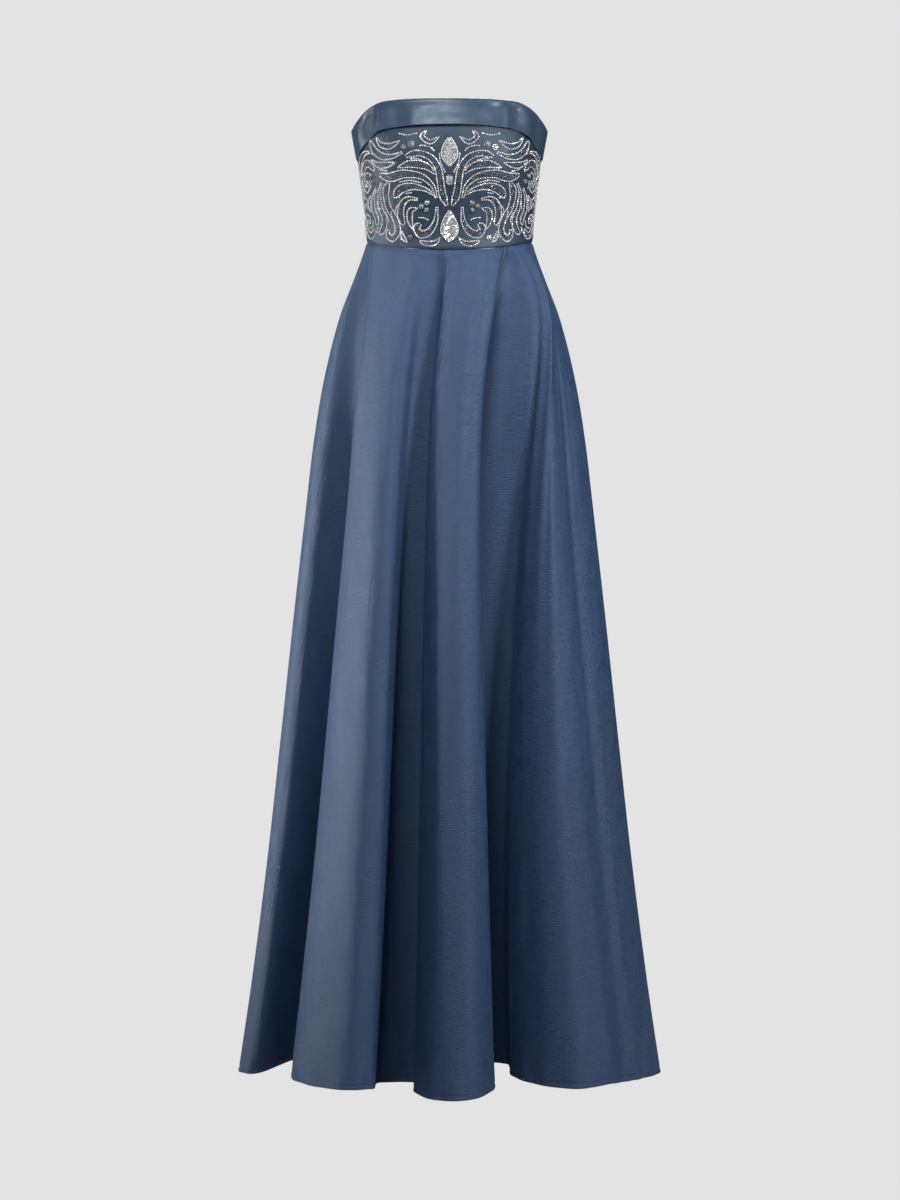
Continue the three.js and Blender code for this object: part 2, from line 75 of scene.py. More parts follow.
cups = {"at": 38, "spread": 21, "z": -56, "height": 44, "rise": 7, "centreDip": 3.5}
skirtFolds = [  # angle at the waist, x and y at the hem, rise of the hem, swing above it
    (-90, -296, 8, 0, 0), (-82, -271, -14, 0, 0), (-75, -208, 34, 16, 6), (-69, -219, -70, 6, 9),
    (-59, -196, -136, 6, 8), (-43, -145, -188, 7, 3), (-23, -103, -178, 6, 0), (-10, -94, -70, -3, 4),
    (-1, -39, -72, -3, 2), (5, -48, -138, -4, 0), (14, -17, -187, -7, 0), (27, 27, -190, -6, 3),
    (39, 60, -140, 0, -1), (43.5, 52, -32, 17, -6), (49, 80, -30, 16, 38), (55, 86, -80, 8, 44),
    (61, 122, -124, 3, 40), (68, 174, -145, 1, 20), (74, 219, -117, 3, 6), (79, 241, -80, 0, 2),
    (84, 265, -62, 1, 0), (90, 296, 7, 0, 0), (99, 271, 63, 0, 0), (107, 222, 76, 6, 0),
    (114, 209, 130, 0, 0), (124, 171, 184, 0, 0), (134, 127, 168, 0, 0), (142, 104, 116, 5, 0),
    (150, 88, 180, 0, 0), (161, 50, 226, 0, 0), (172, 17, 196, 0, 0), (180, 0, 168, 3, 0),
    (188, -19, 190, 0, 0), (200, -58, 222, 0, 0), (211, -97, 186, 0, 0), (219, -112, 122, 5, 0),
    (228, -136, 160, 0, 0), (240, -180, 178, 0, 0), (251, -218, 122, 0, 0), (258, -228, 74, 6, 0),
    (264, -273, 60, 0, 0),
]
frontRight, centreBack = 21, 31  # rows of that table: the right side seam and the centre back seam


def readTable(rows, x, column):  # a smooth curve through one column of a table
    keys = np.array([row[0] for row in rows], float)
    values = np.array([row[column] for row in rows], float)
    slopes = np.empty_like(values)
    slopes[1:-1] = (values[2:] - values[:-2]) / (keys[2:] - keys[:-2])
    slopes[0] = (values[1] - values[0]) / (keys[1] - keys[0])
    slopes[-1] = (values[-1] - values[-2]) / (keys[-1] - keys[-2])
    x = np.asarray(x, float)
    i = np.clip(np.searchsorted(keys, x) - 1, 0, len(keys) - 2)
    width = keys[i + 1] - keys[i]
    t = np.clip((x - keys[i]) / width, 0, 1)
    return (values[i] * (2 * t**3 - 3 * t**2 + 1) + slopes[i] * width * (t**3 - 2 * t**2 + t)
            + values[i + 1] * (3 * t**2 - 2 * t**3) + slopes[i + 1] * width * (t**3 - t**2))


def bell(x):
    return np.exp(-np.square(x))


def ease(x):
    x = np.clip(x, 0, 1)
    return x * x * (3 - 2 * x)


def fromFront(degrees):
    return np.abs(np.mod(np.asarray(degrees, float) + 180, 360) - 180)


def waistHeight(degrees):
    ahead = np.maximum(0, np.cos(np.radians(degrees)))
    return shape["waistSide"] + (shape["waistFront"] - shape["waistSide"]) * ahead**1.5


def topHeight(degrees):
    return readTable(topEdge, fromFront(degrees), 1)


def bodyPoint(degrees, z, out=0.0):  # on the outside of the unfolded gown, or that far out of it
    degrees, z = np.broadcast_arrays(np.asarray(degrees, float), np.asarray(z, float))
    phi = np.radians(degrees)
    side, ahead = np.sin(phi), np.cos(phi)
    halfWidth = readTable(bodySections, z, 1)
    depth = np.where(ahead > 0, readTable(bodySections, z, 2), readTable(bodySections, z, 3))
    nx, ny = side / halfWidth, -ahead / depth
    size = np.hypot(nx, ny)
    away = fromFront(degrees)
    level = bell((z - cups["z"]) / cups["height"])
    move = (out + cups["rise"] * bell((away - cups["at"]) / cups["spread"]) * level
            - cups["centreDip"] * bell(away / cups["spread"]) * level)
    return np.stack([halfWidth * side + nx / size * move, -depth * ahead + ny / size * move, z], -1)


def skirtKeys(down):  # the points that the skirt's section goes through, at each share of the way down
    table = np.array(skirtFolds, float)
    waist, x, y, lift, swing = table.T
    share = np.degrees(np.arcsin(np.clip(x / bodySections[0][1], -1, 1)))
    hemAngle = np.where(waist > 90, 180 - share, share)
    down = np.asarray(down, float)[:, None]
    angle = hemAngle + (waist - hemAngle) * (1 - down) ** shape["foldTurn"]
    top = waistHeight(waist) - shape["seamGap"] / 2
    z = top + down * (shape["hem"] + lift - top)
    points = bodyPoint(angle, z)
    points[..., 0] += swing * 2 * (1 - down) ** 1.6 * (1 - (1 - down) ** shape["foldTurn"])
    points[..., 1] += (y - bodyPoint(hemAngle, shape["hem"])[:, 1]) * down ** shape["foldGrowth"]
    return points


def skirtPoint(place, down):  # place counts the rows of the table of folds
    levels, at = np.unique(down, return_inverse=True)
    keys = skirtKeys(levels)
    at = at.reshape(np.shape(down))
    count = keys.shape[1]
    whole = np.floor(place).astype(int)
    t = (place - whole)[..., None]
    p0, p1, p2, p3 = (keys[at, (whole + step) % count] for step in (-1, 0, 1, 2))
    d0, d1, d2 = (np.sqrt(np.linalg.norm(b - a, axis=-1))[..., None]
                  for a, b in ((p0, p1), (p1, p2), (p2, p3)))
    t1 = ((p1 - p0) / d0 - (p2 - p0) / (d0 + d1) + (p2 - p1) / d1) * d1
    t2 = ((p2 - p1) / d1 - (p3 - p1) / (d1 + d2) + (p3 - p2) / d2) * d1
    return p1 + t1 * t + (-3 * p1 + 3 * p2 - 2 * t1 - t2) * t**2 + (2 * p1 - 2 * p2 + t1 + t2) * t**3


def skirtOutward(place, down):
    step = 0.02
    along = skirtPoint(place + step, down) - skirtPoint(place - step, down)
    outward = np.stack([along[:, 1], -along[:, 0], np.zeros(len(along))], -1)
    return outward / np.linalg.norm(outward, axis=1, keepdims=True)


# Short ways to new meshes and objects.

def meshFrom(name, bm):
    mesh = bpy.data.meshes.new(name)
    bm.to_mesh(mesh)
    bm.free()
    return mesh


def newObject(name, data):
    item = bpy.data.objects.new(name, data)
    bpy.context.scene.collection.objects.link(item)
    return item


# Shader groups that several materials share.

def newGroup(name, inputs, outputs):
    group = bpy.data.node_groups.new(name, "ShaderNodeTree")
    for label, kind, value in inputs:
        socket = group.interface.new_socket(label, in_out="INPUT", socket_type=kind)
        socket.default_value = value
    for label, kind in outputs:
        group.interface.new_socket(label, in_out="OUTPUT", socket_type=kind)
    return group, group.nodes.new("NodeGroupInput"), group.nodes.new("NodeGroupOutput")


def addNode(tree, kind, settings=None, links=None):
    node = tree.nodes.new(kind)
    for key, value in (settings or {}).items():
        if hasattr(node, key) and key not in node.inputs:
            setattr(node, key, value)
        else:
            node.inputs[key].default_value = value
    for key, source in (links or {}).items():
        tree.links.new(source, node.inputs[key])
    return node


def mathNode(tree, operation, a, b, clamp=False):
    node = tree.nodes.new("ShaderNodeMath")
    node.operation, node.use_clamp = operation, clamp
    for i, value in enumerate((a, b)):
        if isinstance(value, (int, float)):
            node.inputs[i].default_value = value
        else:
            tree.links.new(value, node.inputs[i])
    return node.outputs[0]


def stretchedNoise(tree, uv, across, along, detail, roughness=0.5):
    at = addNode(tree, "ShaderNodeMapping", {"Scale": (across, along, 1)}, {"Vector": uv}).outputs[0]
    return addNode(tree, "ShaderNodeTexNoise", {"Scale": 1.0, "Detail": detail, "Roughness": roughness},
                   {"Vector": at}).outputs["Fac"]


def weightedSum(tree, parts):
    total = None
    for value, weight in parts:
        product = mathNode(tree, "MULTIPLY", value, weight)
        total = product if total is None else mathNode(tree, "ADD", total, product)
    return total


def makeSatinWeave():  # UV is in metres across and along the cloth
    group, given, result = newGroup("satinWeave", [
        ("Slub", "NodeSocketFloat", 0.5), ("Thread", "NodeSocketFloat", 0.5),
        ("Mottle", "NodeSocketFloat", 0.5),
    ], [("Height", "NodeSocketFloat"), ("Tone", "NodeSocketFloat"), ("Gloss", "NodeSocketFloat")])
    uv = addNode(group, "ShaderNodeTexCoord").outputs["UV"]
    slub = stretchedNoise(group, uv, 60, 900, 3.0, 0.6)
    warp = stretchedNoise(group, uv, 1500, 240, 1.0)
    mottle = stretchedNoise(group, uv, 60, 34, 4.0, 0.62)
    streak = stretchedNoise(group, uv, 38, 3.2, 3.0)
    height = weightedSum(group, [(slub, given.outputs["Slub"]), (warp, given.outputs["Thread"]),
                                 (mottle, given.outputs["Mottle"])])
    tone = weightedSum(group, [(slub, 0.45), (mottle, 0.3), (streak, 0.25)])
    gloss = weightedSum(group, [(mottle, 0.6), (slub, 0.4)])
    group.links.new(height, result.inputs["Height"])
    group.links.new(tone, result.inputs["Tone"])
    group.links.new(gloss, result.inputs["Gloss"])
    return group


satinWeave = makeSatinWeave()


def newMaterial(name):
    material = bpy.data.materials.new(name)
    material.use_nodes = True
    tree = material.node_tree
    tree.nodes.clear()
    shader = tree.nodes.new("ShaderNodeBsdfPrincipled")
    output = tree.nodes.new("ShaderNodeOutputMaterial")
    tree.links.new(shader.outputs[0], output.inputs[0])
    return material, tree, shader


def satinMaterial(name, dark, light, roughness, shine, bump, slub, thread, mottle):
    material, tree, shader = newMaterial(name)
    weave = tree.nodes.new("ShaderNodeGroup")
    weave.node_tree = satinWeave
    for key, value in (("Slub", slub), ("Thread", thread), ("Mottle", mottle)):
        weave.inputs[key].default_value = value
    ramp = addNode(tree, "ShaderNodeValToRGB", links={"Fac": weave.outputs["Tone"]})
    ramp.color_ramp.elements[0].position, ramp.color_ramp.elements[1].position = 0.4, 0.6
    ramp.color_ramp.elements[0].color = (*dark, 1)
    ramp.color_ramp.elements[1].color = (*light, 1)
    gloss = addNode(tree, "ShaderNodeMapRange",
                    {"From Min": 0.38, "From Max": 0.62,
                     "To Min": roughness - 0.09, "To Max": roughness + 0.10},
                    {"Value": weave.outputs["Gloss"]})
    normal = addNode(tree, "ShaderNodeBump", {"Strength": bump, "Distance": 0.0012},
                     {"Height": weave.outputs["Height"]})
    tree.links.new(ramp.outputs[0], shader.inputs["Base Color"])
    tree.links.new(gloss.outputs[0], shader.inputs["Roughness"])
    tree.links.new(normal.outputs[0], shader.inputs["Normal"])
    shader.inputs["Sheen Weight"].default_value = 0.05
    shader.inputs["Sheen Roughness"].default_value = 0.5
    shader.inputs["Sheen Tint"].default_value = (0.60, 0.72, 0.92, 1)
    shader.inputs["Specular IOR Level"].default_value = shine
    shader.inputs["Specular Tint"].default_value = (0.75, 0.88, 1.0, 1)
    return material


satin = {
    "skirt": {"dark": (0.012, 0.037, 0.102), "light": (0.022, 0.059, 0.152), "roughness": 0.56, "shine": 1.0,
              "bump": 0.9, "slub": 1.0, "thread": 0.45, "mottle": 0.8},
    "cuff": {"dark": (0.026, 0.048, 0.082), "light": (0.040, 0.068, 0.112), "roughness": 0.4, "shine": 0.6,
             "bump": 0.2, "slub": 0.6, "thread": 0.4, "mottle": 0.4},
    "bodice": {"dark": (0.018, 0.032, 0.055), "light": (0.030, 0.049, 0.080), "roughness": 0.46, "shine": 0.6,
               "bump": 0.5, "slub": 0.6, "thread": 0.4, "mottle": 0.5},
}
skirtSatin, cuffSatin, bodiceSatin = (satinMaterial(part + "Satin", **satin[part])
                                      for part in ("skirt", "cuff", "bodice"))
print("cloth materials made")


# A cloth panel from a grid that is bent to its place.

def clothPiece(name, columns, rows, place, material, thickness, middle=False):
    bm = bmesh.new()
    bm.loops.layers.uv.new("cloth")
    bmesh.ops.create_grid(bm, x_segments=columns, y_segments=rows, size=1, calc_uvs=True)
    mesh = meshFrom(name, bm)
    co = np.empty(len(mesh.vertices) * 3)
    mesh.vertices.foreach_get("co", co)
    co = co.reshape(-1, 3)
    across, up = (co[:, 0] + 1) / 2, (co[:, 1] + 1) / 2
    points = place(across, up) * mm
    mesh.vertices.foreach_set("co", points.ravel())
    order = np.lexsort((across.round(6), up.round(6)))  # row by row, to measure along the cloth
    table = points[order].reshape(rows + 1, columns + 1, 3)
    rowSteps = np.linalg.norm(np.diff(table, axis=1), axis=2)
    columnSteps = np.linalg.norm(np.diff(table, axis=0), axis=2)
    acrossCloth = np.concatenate([np.zeros((rows + 1, 1)), np.cumsum(rowSteps, 1)], 1)
    acrossCloth -= acrossCloth[:, -1:] / 2
    upCloth = np.concatenate([np.zeros((1, columns + 1)), np.cumsum(columnSteps, 0)])
    uvOf = np.empty((len(order), 2))
    uvOf[order] = np.stack([acrossCloth, upCloth], -1).reshape(-1, 2)
    loops = np.empty(len(mesh.loops), np.int32)
    mesh.loops.foreach_get("vertex_index", loops)
    mesh.uv_layers[0].data.foreach_set("uv", uvOf[loops].ravel())
    mesh.materials.append(material)
    mesh.shade_smooth()
    piece = newObject(name, mesh)
    solidify = piece.modifiers.new("cloth", "SOLIDIFY")
    solidify.thickness, solidify.offset = thickness * mm, 0 if middle else -1
    bevel = piece.modifiers.new("edge", "BEVEL")
    bevel.width, bevel.segments, bevel.limit_method, bevel.angle_limit = 0.3 * thickness * mm, 2, "ANGLE", 1.0
    area = sum(polygon.area for polygon in mesh.polygons)
    widest, longest = np.ptp(acrossCloth, 1).max(), upCloth[-1].max()
    print(f"{name}: widest {widest:.3f} longest {longest:.3f} area {area:.4f}")
    return piece


# The skirt's three panels.

skirt = {
    "thickness": 1.3, "columnsPerFold": 11, "rows": 170, "ripple": 0.5, "hemPull": 0.7, "seamDip": 0.5,
    "hemEdge": 0.5, "hemGroove": 0.4, "waistDip": 1.9,
    "rowShares": ([0, 0.05, 0.94, 1], [0, 0.008, 0.991, 1]),  # the rows stand closer at the waist and the hem
    "lap": 0.014,  # the share of a fold by which the panels' rounded edges go into each other
}
creases = [  # soft troughs and ridges down a fold, "from" its place at the waist to its place lower down
    {"from": (2.15, 2.9), "start": 0.02, "end": 0.4, "width": 0.2, "height": -4.0},
    {"from": (3.35, 3.5), "start": 0.03, "end": 0.45, "width": 0.16, "height": 3.0},
    {"from": (6.0, 6.0), "start": 0.15, "end": 2.5, "width": 0.5, "height": -6.0},
    {"from": (5.4, 5.9), "start": 0.0, "end": 0.22, "width": 0.22, "height": -1.4},
    {"from": (7.35, 6.4), "start": 0.002, "end": 0.16, "width": 0.5, "height": -4.6},
    {"from": (8.3, 8.0), "start": 0.03, "end": 0.6, "width": 0.7, "height": 4.0},
    {"from": (13.2, 13.6), "start": 0.002, "end": 0.15, "width": 0.5, "height": -8.0},
    {"from": (12.95, 13.05), "start": 0.06, "end": 0.6, "width": 0.3, "height": -9.0},
    {"from": (13.9, 13.9), "start": 0.05, "end": 0.5, "width": 0.4, "height": 4.0},
    {"from": (12.95, 13.1), "start": 0.1, "end": 0.8, "width": 0.5, "height": -6.0},
    {"from": (9.6, 9.9), "start": 0.0, "end": 0.3, "width": 0.35, "height": 1.6},
    {"from": (11.2, 11.4), "start": 0.0, "end": 0.18, "width": 0.25, "height": -1.8},
    {"from": (12.2, 11.6), "start": 0.0, "end": 0.1, "width": 0.2, "height": -3.4},
    {"from": (12.6, 12.9), "start": 0.0, "end": 0.06, "width": 0.14, "height": 1.8},
    {"from": (12.9, 12.2), "start": 0.01, "end": 0.07, "width": 0.12, "height": -1.6},
    {"from": (14.4, 14.5), "start": 0.0, "end": 0.1, "width": 0.3, "height": -2.0},
    {"from": (16.6, 16.9), "start": 0.0, "end": 0.3, "width": 0.3, "height": -1.2},
    {"from": (19.1, 19.0), "start": 0.12, "end": 0.9, "width": 0.3, "height": -1.4},
    {"from": (24.0, 24.4), "start": 0.0, "end": 0.2, "width": 0.35, "height": -2.0},
    {"from": (27.6, 27.3), "start": 0.0, "end": 0.16, "width": 0.3, "height": -1.8},
    {"from": (29.3, 29.6), "start": 0.0, "end": 0.25, "width": 0.35, "height": 1.5},
    {"from": (33.4, 33.1), "start": 0.0, "end": 0.2, "width": 0.35, "height": -2.0},
    {"from": (36.2, 36.6), "start": 0.0, "end": 0.25, "width": 0.3, "height": -1.6},
    {"from": (38.9, 38.7), "start": 0.05, "end": 0.3, "width": 0.3, "height": 1.4},
]


def skirtDetail(place, down):
    move = np.zeros_like(place)
    toSeam = np.min(np.abs(place[:, None] - np.array([0, frontRight, centreBack, len(skirtFolds)])), 1)
    free = 1 - bell(toSeam / 0.3)
    for crease in creases:
        (atWaist, below), begin, end = crease["from"], crease["start"], crease["end"]
        middle = atWaist + (below - atWaist) * ease(down / 0.4)
        fade = ease((down - begin + 0.012) / 0.03) * (1 - ease((down - begin) / (end - begin)))
        move += crease["height"] * bell((place - middle) / crease["width"]) * fade
    ripple = (np.sin(place * 4.1 + 7 * down + 0.6) * np.sin(place * 1.7 + 2.3)
              + 0.6 * np.sin(place * 7.3 - 5 * down))
    pull = np.sin(place * 9.7 + 2.2 * np.sin(place * 0.9)) * bell((down - 0.995) / 0.02)
    move += (skirt["ripple"] * ripple * ease(down / 0.15) + skirt["hemPull"] * pull) * free
    move -= skirt["seamDip"] * bell(toSeam / 0.03)
    move += skirt["hemEdge"] * bell((down - 0.9982) / 0.0011)  # the narrow turned edge
    move -= skirt["hemGroove"] * bell((down - 0.9945) / 0.001)
    move -= skirt["waistDip"] * bell(down / 0.003)  # the waist seam draws the edge in
    return move


def skirtPlace(first, last):
    def place(across, up):
        down = np.interp(1 - up, *skirt["rowShares"])
        spot = first - skirt["lap"] + (last - first + 2 * skirt["lap"]) * across
        return skirtPoint(spot, down) + skirtOutward(spot, down) * skirtDetail(spot, down)[:, None]
    return place


def makeSkirt(name, first, last):
    piece = clothPiece(name + "_satin", (last - first) * skirt["columnsPerFold"], skirt["rows"],
                       skirtPlace(first, last), skirtSatin, skirt["thickness"])
    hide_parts(name)
    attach(piece, "gown")


makeSkirt("skirt_front", 0, frontRight)
makeSkirt("skirt_back_r", frontRight, centreBack)
makeSkirt("skirt_back_l", centreBack, len(skirtFolds))
print("skirt made")


# The bodice's five panels.

bodice = {
    "thickness": 1.8, "princessWaist": 34.5, "princessTop": 41.5, "seamDip": 0.4, "seamWidth": 1.2,
    "waistDip": 1.3, "pucker": 0.35, "lap": 0.28,  # lap: degrees that the panels' edges go into each other
}
roll = (shape["bodiceCloth"] + 2 * shape["layerGap"] + shape["cuffCloth"]) / 2


def bodicePlace(seamFrom, seamTo):
    def place(across, up):
        left, right = seamFrom(up) - bodice["lap"], seamTo(up) + bodice["lap"]
        degrees = left + (right - left) * across
        low = waistHeight(degrees) + shape["seamGap"] / 2
        high = topHeight(degrees) - shape["cuffCloth"] / 2 - roll
        z = low + (high - low) * up
        wide = np.abs(right - left) * shape["perDegree"]
        toSeam = np.minimum(across, 1 - across) * wide
        dip = (bodice["seamDip"] * bell(toSeam / bodice["seamWidth"])
               + bodice["waistDip"] * bell((z - low) / 2))
        pucker = bodice["pucker"] * np.sin(z * 0.21 + degrees * 0.3) * bell(toSeam / 9)
        return bodyPoint(degrees, z, pucker - dip)
    return place


def princessSeam(side):
    low, high = bodice["princessWaist"], bodice["princessTop"]
    return lambda up: side * (low + (high - low) * up)


def makeBodice(name, seamFrom, seamTo, columns):
    piece = clothPiece(name + "_satin", columns, 80, bodicePlace(seamFrom, seamTo), bodiceSatin,
                       bodice["thickness"])
    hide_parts(name)
    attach(piece, "gown")
    return piece


def straightSeam(degrees):
    return lambda up: degrees + 0 * up


centreFront = makeBodice("bodice_centre_front", princessSeam(-1), princessSeam(1), 120)
sideFrontRight = makeBodice("bodice_side_front_r", princessSeam(1), straightSeam(90), 80)
sideFrontLeft = makeBodice("bodice_side_front_l", straightSeam(-90), princessSeam(-1), 80)
backRight = makeBodice("bodice_back_r", straightSeam(90), straightSeam(180), 110)
backLeft = makeBodice("bodice_back_l", straightSeam(-180), straightSeam(-90), 110)
print("bodice made")


# The cuff: down the outside, over the top edge and a little way down the inside.

cuff = {
    "front": 37, "side": 40, "corner": 4, "standOff": 3.6, "insideLeg": 9, "backEnd": 178.03,
    "thickness": 1.5, "lap": 0.15,  # lap: degrees, as on the bodice
}
cuffDents = [  # degrees, share of the way up, width in degrees, height share, depth
    (-31, 0.45, 6, 0.6, -2.6), (-22, 0.3, 5, 0.5, 1.0), (-12, 0.75, 9, 0.3, 1.0), (2, 0.2, 12, 0.3, -0.9),
    (15, 0.65, 10, 0.3, 0.8), (27, 0.5, 5, 0.8, -1.6), (34, 0.6, 4, 0.8, 1.6), (41, 0.5, 5, 0.8, -3.0),
    (-44, 0.6, 6, 0.6, 1.8), (-54, 0.5, 6, 0.6, -4.4), (-67, 0.45, 6, 0.5, 2.6), (52, 0.5, 5, 0.6, 1.4),
    (61, 0.4, 6, 0.6, -2.0), (72, 0.5, 6, 0.6, 1.2), (-76, 0.6, 6, 0.6, -1.6), (110, 0.4, 12, 0.5, -1.4),
    (126, 0.5, 7, 0.5, 1.2), (146, 0.5, 9, 0.5, -1.6), (165, 0.4, 8, 0.5, 1.0), (-115, 0.5, 10, 0.5, 1.3),
    (-131, 0.5, 8, 0.5, -1.6), (-150, 0.5, 8, 0.5, 1.0), (-168, 0.5, 8, 0.4, -1.2),
]


def cuffPlace(first, last):
    def place(across, up):
        degrees = first + (last - first) * across
        top = topHeight(degrees)
        away = np.minimum(1, fromFront(degrees) / 90)
        drop = (cuff["front"] + (cuff["side"] - cuff["front"]) * ease(away)
                + cuff["corner"] * np.sin(np.pi * away**2))
        rollAt = top - shape["cuffCloth"] / 2 - roll
        outer, turn = drop - (top - rollAt), np.pi * roll
        inner = cuff["insideLeg"] - (top - rollAt)
        s = up * (outer + turn + inner)  # from the lower edge outside, over the top, to the edge inside
        share = np.clip(s / outer, 0, 1)
        bend = np.clip((s - outer) / roll, 0, np.pi)
        down = np.maximum(s - outer - turn, 0)
        middle = -shape["bodiceCloth"] / 2
        spare = cuff["standOff"] * np.cos(np.radians(degrees)) ** 2 * (1 - share) ** 1.4
        out = middle + roll * np.cos(bend) + spare
        z = np.where(s < outer, top - drop + share * outer, rollAt + roll * np.sin(bend) - down)
        for at, height, width, tall, depth in cuffDents:
            fade = np.where(s < outer, ease((1 - share) / 0.25), 0)
            out = out + depth * bell((degrees - at) / width) * bell((share - height) / tall) * fade
        return bodyPoint(degrees, z, out)
    return place


def makeCuff(name, first, last, columns):
    piece = clothPiece(name + "_satin", columns, 60, cuffPlace(first, last), cuffSatin, cuff["thickness"],
                       middle=True)
    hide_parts(name)
    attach(piece, "gown")


makeCuff("cuff_front", -90 - cuff["lap"], 90 + cuff["lap"], 200)
makeCuff("cuff_back_r", 90 - cuff["lap"], cuff["backEnd"], 100)
makeCuff("cuff_back_l", -cuff["backEnd"], cuff["lap"] - 90, 100)
print("cuff made")


# The beadwork on the front, set out by the distance from the centre front and the height over the waist seam,
# in millimetres. It is drawn for the right half and mirrored.

beadwork = {
    "brightPitch": 3.1, "darkPitch": 1.75, "sideEnd": 181, "centreGap": 1.2,
    "brightBead": (2.9, 2.35, 1.6), "darkBead": (1.65, 1.45, 1.1), "lift": 0.55, "tilt": 0.3, "seed": 11,
    "widen": 1.16,
}
ribbons = [  # a spine from root to tip, its greatest width and its kind
    {"spine": [(4, 60), (9.5, 74), (12, 92), (15, 108), (24, 122), (40, 127), (56, 121)],
     "wide": 8, "kind": "stem"},
    {"spine": [(13, 150), (24, 143), (33, 150), (28, 158)], "wide": 5, "kind": "leaf"},
    {"spine": [(17, 56), (19, 38), (28, 24), (40, 20), (46, 28), (40, 34)], "wide": 8.4, "kind": "tear"},
    {"spine": [(13, 16), (20, 9), (31, 8), (42, 11)], "wide": 5.5, "kind": "leaf"},
    {"spine": [(18, 100), (30, 110), (48, 112), (66, 106)], "wide": 8.4, "kind": "leaf"},
    {"spine": [(18, 70), (22, 84), (36, 96), (58, 98), (80, 92), (98, 94)], "wide": 9.4, "kind": "tear"},
    {"spine": [(22, 74), (34, 80), (52, 82), (68, 76), (78, 66)], "wide": 8.8, "kind": "tear"},
    {"spine": [(44, 66), (56, 66), (66, 58), (70, 44), (66, 30)], "wide": 8.4, "kind": "tear"},
    {"spine": [(44, 54), (54, 50), (56, 38), (52, 26)], "wide": 7, "kind": "leaf"},
    {"spine": [(60, 126), (74, 120), (90, 120), (104, 128), (110, 140)], "wide": 9, "kind": "tear"},
    {"spine": [(62, 142), (76, 134), (90, 136), (98, 146)], "wide": 6.5, "kind": "leaf"},
    {"spine": [(70, 112), (84, 108), (100, 108), (112, 114)], "wide": 6.8, "kind": "leaf"},
    {"spine": [(84, 84), (92, 70), (90, 52), (80, 38), (76, 22), (84, 11), (94, 14), (93, 23)], "wide": 9,
     "kind": "stem"},
    {"spine": [(98, 82), (106, 68), (106, 50), (100, 36), (104, 22), (114, 14)], "wide": 8.4, "kind": "tear"},
    {"spine": [(112, 74), (122, 62), (124, 46), (118, 34), (120, 26)], "wide": 8, "kind": "tear"},
    {"spine": [(60, 8), (67, 14), (70, 22)], "wide": 4.6, "kind": "leaf"},
    {"spine": [(126, 18), (136, 10), (150, 12), (158, 24), (152, 34), (142, 32), (143, 25)], "wide": 8,
     "kind": "stem"},
    {"spine": [(108, 100), (120, 108), (134, 106), (146, 96), (150, 82), (142, 72), (133, 76), (136, 84)],
     "wide": 8.4, "kind": "stem"},
    {"spine": [(116, 124), (130, 122), (146, 114), (158, 102), (162, 90)], "wide": 8.4, "kind": "tear"},
    {"spine": [(130, 64), (136, 52), (134, 42)], "wide": 6.8, "kind": "leaf"},
    {"spine": [(176, 8), (168, 22), (168, 40), (160, 54), (148, 56), (144, 46)], "wide": 8.4, "kind": "stem"},
    {"spine": [(179, 30), (176, 48), (168, 62), (160, 72), (163, 82)], "wide": 8, "kind": "tear"},
    {"spine": [(180, 58), (174, 76), (174, 94), (170, 104)], "wide": 7, "kind": "leaf"},
]
tendrils = [  # single rows of beads
    [(40, 154), (52, 151), (64, 153)], [(20, 132), (24, 136), (34, 138), (38, 136)],
    [(38, 88), (52, 90), (66, 87)], [(30, 40), (36, 42), (44, 42)], [(60, 74), (66, 70), (70, 66)],
    [(84, 100), (96, 102), (104, 106)], [(86, 46), (84, 32)], [(112, 58), (114, 46)],
    [(128, 96), (138, 92), (141, 84)], [(158, 62), (152, 66)], [(128, 30), (132, 22), (142, 20)],
    [(150, 124), (158, 116)], [(96, 44), (92, 36), (94, 30)], [(6, 104), (9, 110), (12, 118), (13, 130)],
    [(36, 118), (46, 120), (52, 116)], [(72, 58), (78, 50), (78, 44)], [(126, 84), (124, 74)],
    [(52, 74), (60, 72)], [(120, 16), (118, 22)], [(166, 70), (168, 78)], [(104, 120), (112, 124)],
]
stones = {  # name: across, up, wide, tall, high
    "centre_drop": (0, 92, 10, 14, 4), "upper_a": (47, 139, 8, 8, 3.4), "upper_b": (57, 134, 7, 7, 3),
    "cluster_a": (30, 62, 7.5, 7.5, 3.4), "cluster_b": (38, 57, 6.5, 6.5, 3),
    "cluster_c": (31, 53, 6, 6, 2.8),
    "low_single": (56, 15, 5.5, 5.5, 2.6), "side_a": (121, 92, 7, 7, 3), "side_b": (114, 85, 6, 6, 2.8),
}
appliques = {
    "applique_bud": {"low": 112, "high": 150, "halfWidth": 9.5, "widestAt": 0.4, "thickness": 1.2,
                     "cut": ((0.019, 0.038), 0.0005)},
    "applique_drop": {"low": 12, "high": 52, "halfWidth": 11, "widestAt": 0.35, "thickness": 1.2,
                      "cut": ((0.022, 0.040), 0.0006)},
}


def frontPoint(across, up, out):
    degrees = np.asarray(across, float) / shape["perDegree"]
    return bodyPoint(degrees, waistHeight(degrees) + up, out)


def frontFrame(across, up, out, turn=0.0):  # x along the row, z out of the cloth, in metres
    origin = frontPoint(across, up, out)
    right = frontPoint(across + 1, up, out) - origin
    above = frontPoint(across, up + 1, out) - origin
    normal = Vector(np.cross(right, above)).normalized()
    along = (Vector(right) * math.cos(turn) + Vector(above) * math.sin(turn)).normalized()
    along = (along - normal * along.dot(normal)).normalized()
    side = normal.cross(along)
    return Matrix.Translation(Vector(origin) * mm) @ Matrix((along, side, normal)).transposed().to_4x4()


